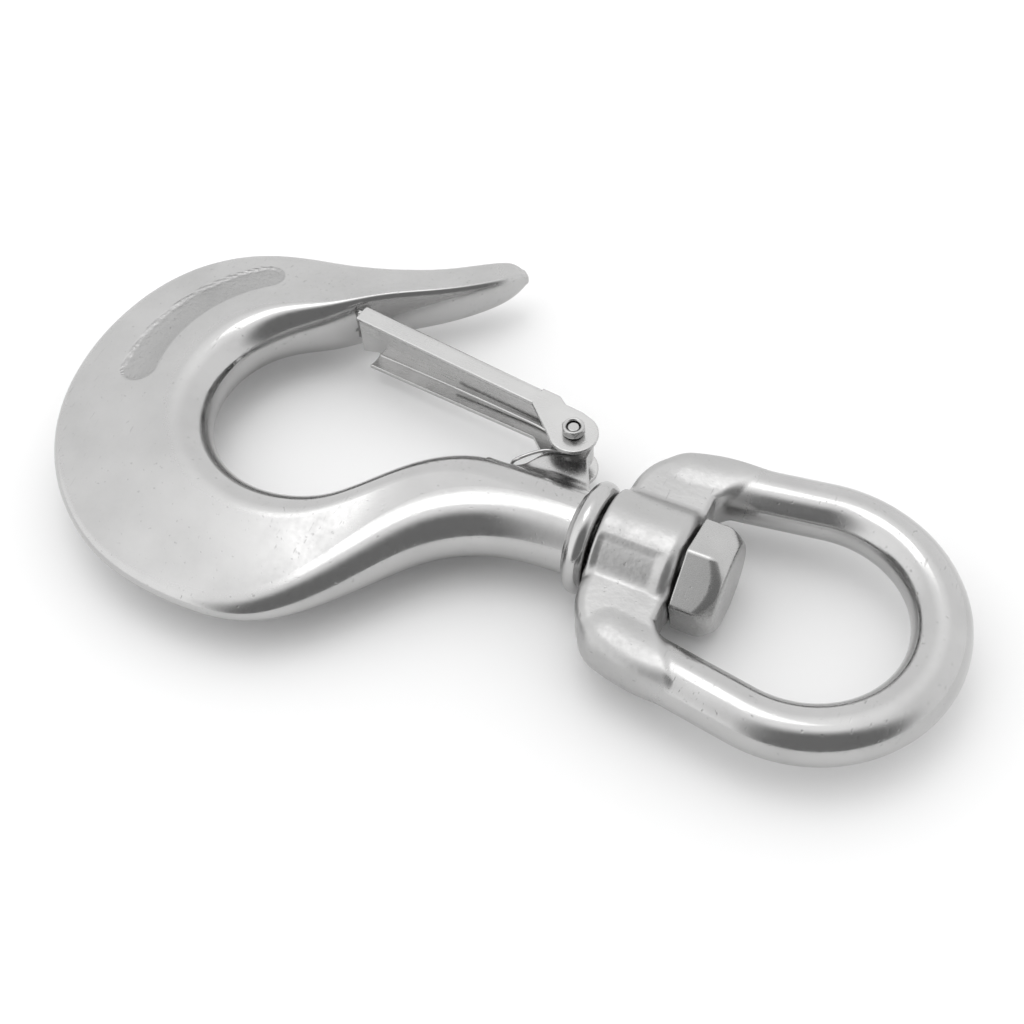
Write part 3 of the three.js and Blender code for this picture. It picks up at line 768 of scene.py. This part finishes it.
back = Vector((math.sin(AZIMUTH) * math.cos(ELEVATION), -math.cos(AZIMUTH) * math.cos(ELEVATION),
               math.sin(ELEVATION)))
level = Vector((math.cos(AZIMUTH), math.sin(AZIMUTH), 0))
rising = back.cross(level)
right = math.cos(ROLL) * level + math.sin(ROLL) * rising
up = -math.sin(ROLL) * level + math.cos(ROLL) * rising
spot = (back * DISTANCE - right * ASIDE + up * BELOW + Vector(ORIGIN)) / 1000
camera = bpy.data.objects.new("camera", bpy.data.cameras.new("camera"))
bpy.context.scene.collection.objects.link(camera)
camera.data.sensor_width = SENSOR
camera.data.lens = LENS
camera.data.clip_start, camera.data.clip_end = 0.01, 20
camera.matrix_world = Matrix.Translation(spot) @ Matrix((right, up, back)).transposed().to_4x4()
bpy.context.scene.camera = camera


def facing(azimuth, elevation):
    """The direction from the object to a place around it, in degrees; azimuth 0 is towards -Y."""
    turn, rise = math.radians(azimuth), math.radians(elevation)
    return Vector((math.sin(turn) * math.cos(rise), -math.cos(turn) * math.cos(rise), math.sin(rise)))


def softbox(name, azimuth, elevation, away, width, height, strength):
    """A rectangular light that faces the object, sized in metres; strength is its brightness."""
    data = bpy.data.lights.new(name, "AREA")
    data.shape = "RECTANGLE"
    data.size, data.size_y = width, height
    data.energy = strength * math.pi * width * height
    lamp = bpy.data.objects.new(name, data)
    bpy.context.scene.collection.objects.link(lamp)
    direction = facing(azimuth, elevation)
    lamp.location = direction * away
    lamp.rotation_euler = direction.to_track_quat("Z", "Y").to_euler()


softbox("overhead", 228, 79, 1.0, 0.46, 0.44, 1.25)

world = bpy.data.worlds.new("studio")
bpy.context.scene.world = world
world.use_nodes = True
sky = world.node_tree
looking = sky.nodes.new("ShaderNodeTexCoord").outputs["Generated"]


def towards(azimuth, elevation, inner, outer, amount):
    """A soft round patch of the surroundings, inner and outer being its angles from the middle."""
    near = sky.nodes.new("ShaderNodeVectorMath")
    near.operation = "DOT_PRODUCT"
    sky.links.new(looking, near.inputs[0])
    near.inputs[1].default_value = facing(azimuth, elevation)
    patch = sky.nodes.new("ShaderNodeMapRange")
    patch.interpolation_type = "SMOOTHSTEP"
    sky.links.new(near.outputs["Value"], patch.inputs["Value"])
    patch.inputs["From Min"].default_value = math.cos(math.radians(outer))
    patch.inputs["From Max"].default_value = math.cos(math.radians(inner))
    patch.inputs["To Max"].default_value = amount
    return patch.outputs["Result"]


# A light tent, brighter to the left and above, with a dark opening where the picture is taken from.
TENT = 1.18
brightness = None
for patch in (towards(34, 24, 32, 58, -0.92), towards(315, 25, 15, 50, 0.3), towards(225, 80, 5, 40, 0.3)):
    total = sky.nodes.new("ShaderNodeMath")
    total.operation = "ADD"
    sky.links.new(patch, total.inputs[0])
    if brightness is None:
        total.inputs[1].default_value = TENT
    else:
        sky.links.new(brightness, total.inputs[1])
    brightness = total.outputs[0]
sky.links.new(brightness, sky.nodes["Background"].inputs["Strength"])
sky.nodes["Background"].inputs["Color"].default_value = (1, 1, 1, 1)

floor_mesh = bpy.data.meshes.new("floor")
FLOOR = 3.0
corners = [(-FLOOR, -FLOOR, 0), (FLOOR, -FLOOR, 0), (FLOOR, FLOOR, 0), (-FLOOR, FLOOR, 0)]
floor_mesh.from_pydata(corners, [], [(0, 1, 2, 3)])
floor = bpy.data.objects.new("floor", floor_mesh)
bpy.context.scene.collection.objects.link(floor)
paper = bpy.data.materials.new("paper")
paper.use_nodes = True
paper_shader = paper.node_tree.nodes["Principled BSDF"]
paper_shader.inputs["Base Color"].default_value = (0.95, 0.95, 0.95, 1)
paper_shader.inputs["Roughness"].default_value = 0.9
floor_mesh.materials.append(paper)

bpy.context.scene.view_settings.view_transform = "Standard"
